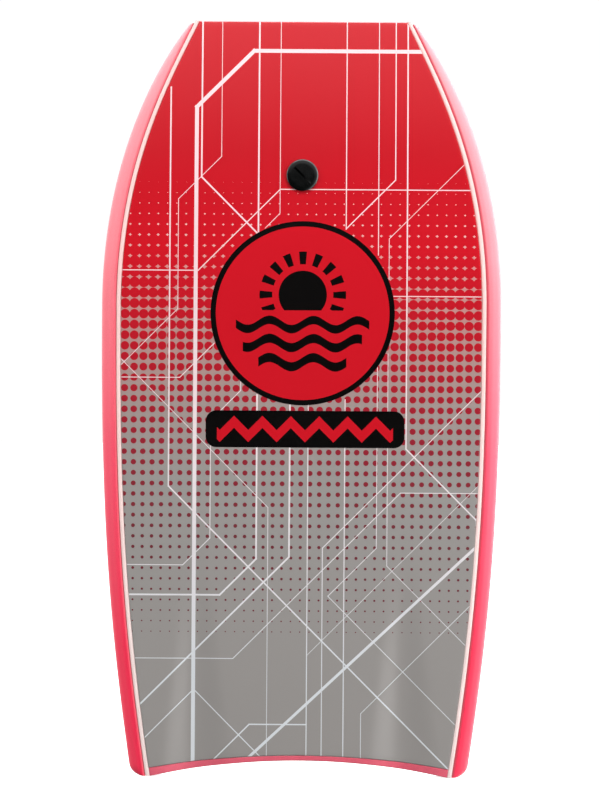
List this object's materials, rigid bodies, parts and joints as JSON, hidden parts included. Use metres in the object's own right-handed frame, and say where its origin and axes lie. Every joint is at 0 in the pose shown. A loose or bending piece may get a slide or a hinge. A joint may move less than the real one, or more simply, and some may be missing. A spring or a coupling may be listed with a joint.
{
  "type": "bodyboard",
  "caption": "Foam bodyboard with a hollowed tail, channelled slick, bevelled rails and a two-part leash plug whose slotted cap unscrews.",
  "frame": {"origin": "Bottom centre of the bounding box, between the two tail tips and midway through the thickness.", "axes": "+Z from the tail tips to the nose, +X across the board to the right as seen from the slick, +Y out of the deck. The printed slick faces -Y."},
  "size_m": [0.5636, 0.076, 1.067],
  "materials": {
    "printed_slick": "glossy printed sheet, red over warm grey",
    "white_foam": "satin white foam",
    "white_bead_foam": "white bead foam",
    "charcoal_foam": "textured foam skin",
    "red_foam": "satin red foam",
    "coral_foam": "satin coral foam",
    "black_plastic": "moulded black plastic",
    "black_rubber": "soft black rubber",
    "stainless_steel": "drawn stainless steel"
  },
  "bodies": {
    "board": {"slick_sheet": "printed_slick", "slick_backing": "white_foam", "core": "white_bead_foam", "deck_skin": "charcoal_foam", "tail_strip": "red_foam", "nose_strip": "coral_foam", "pinstripe_left": "white_foam", "pinstripe_right": "white_foam", "rail_left": "coral_foam", "rail_right": "coral_foam", "plug_body": "black_plastic", "leash_bar": "stainless_steel", "flange_gasket": "black_rubber"},
    "gasket": {"cap_gasket": "black_rubber"},
    "cap": {"plug_cap": "black_plastic"}
  },
  "joints": [
    {"name": "cap_back_off", "type": "slide", "parent": "board", "child": "gasket", "axis": [0, -0.9967, 0.0809], "range_m": [0, 0.012]},
    {"name": "cap_turn", "type": "hinge", "parent": "gasket", "child": "cap", "pos_m": [0, -0.03114, 0.848], "axis": [0, -0.9967, 0.0809], "range_deg": [0, 1450]}
  ],
  "couplings": [
    {"joint": "cap_turn", "follows": "cap_back_off", "rad_per_m": 2094.4}
  ]
}
